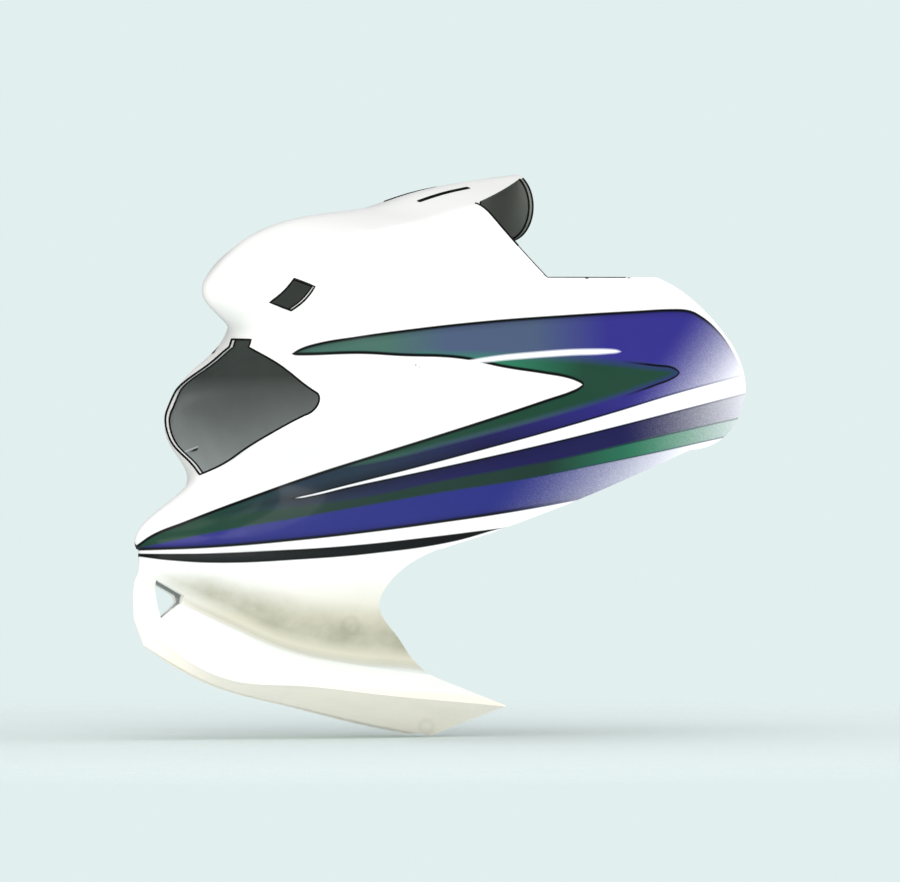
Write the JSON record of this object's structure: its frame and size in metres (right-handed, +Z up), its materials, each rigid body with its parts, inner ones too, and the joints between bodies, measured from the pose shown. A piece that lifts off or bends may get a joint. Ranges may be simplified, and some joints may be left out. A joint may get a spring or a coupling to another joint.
{
  "type": "headlight visor",
  "caption": "Beaked headlight visor shell for a light motorcycle, with an eye-shaped lamp opening, swept side wings, a narrow chin and a crowned roof.",
  "frame": {"origin": "middle of the four screw posts, on their rear faces", "axes": "+X rearward, out of the screw posts; +Y to the rider's right; +Z up"},
  "size_m": [0.3858, 0.2776, 0.365],
  "materials": {
    "visor_shell": "white gloss paint outside with a blue and green stripe decal, dark grey unpainted plastic inside"
  },
  "bodies": {
    "root": {"visor_shell": "visor_shell"}
  },
  "joints": []
}
